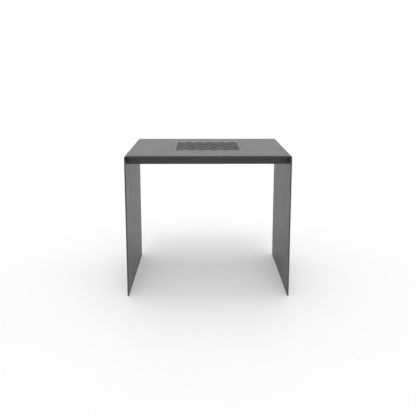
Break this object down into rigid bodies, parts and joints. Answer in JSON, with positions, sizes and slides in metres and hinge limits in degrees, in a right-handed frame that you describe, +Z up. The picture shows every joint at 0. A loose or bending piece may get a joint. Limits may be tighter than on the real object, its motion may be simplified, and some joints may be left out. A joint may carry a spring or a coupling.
{
  "type": "fire pit with grate",
  "caption": "Low fire table bent from one thick steel sheet, with a flush lift-out zigzag grate over a shallow ember drawer that carries a hanging fire pan.",
  "frame": {"origin": "on the floor, at the centre of the footprint", "axes": "+X to the right, -Y to the front where the drawer comes out, +Z up"},
  "size_m": [0.6, 0.55, 0.526],
  "materials": {
    "coated_plate": "satin graphite powder coat",
    "grate_plate": "satin graphite heat-resistant coat",
    "drawer_coat": "satin graphite powder coat",
    "ledge_steel": "matt dark primer",
    "tray_steel": "matt black heat-resistant paint",
    "pan_steel": "matt black heat-resistant paint, lightly sooted",
    "rack_steel": "bare steel, heat-darkened",
    "zinc_steel": "zinc-plated",
    "bumper_rubber": "matt black silicone rubber"
  },
  "bodies": {
    "table": {"table_shell": "coated_plate", "ledge_front": "ledge_steel", "ledge_rear": "ledge_steel", "ledge_left": "ledge_steel", "ledge_right": "ledge_steel", "rear_apron": "drawer_coat", "closing_bumpers": "bumper_rubber", "left_runner": "zinc_steel", "right_runner": "zinc_steel", "runner_studs": "zinc_steel", "runner_nuts": "zinc_steel", "drawer_stops": "zinc_steel", "stop_studs": "zinc_steel", "stop_nuts": "zinc_steel"},
    "drawer": {"front_panel": "drawer_coat", "panel_studs": "zinc_steel", "panel_nuts": "zinc_steel", "drawer_tray": "tray_steel", "fire_pan": "pan_steel", "fuel_rack": "rack_steel"},
    "grate": {"grate": "grate_plate"}
  },
  "joints": [
    {"name": "drawer_slide", "type": "slide", "parent": "table", "child": "drawer", "axis": [0, -1, 0], "range_m": [0, 0.38]},
    {"name": "grate_lift", "type": "slide", "parent": "table", "child": "grate", "axis": [0, 0, 1], "range_m": [0, 0.15]}
  ]
}
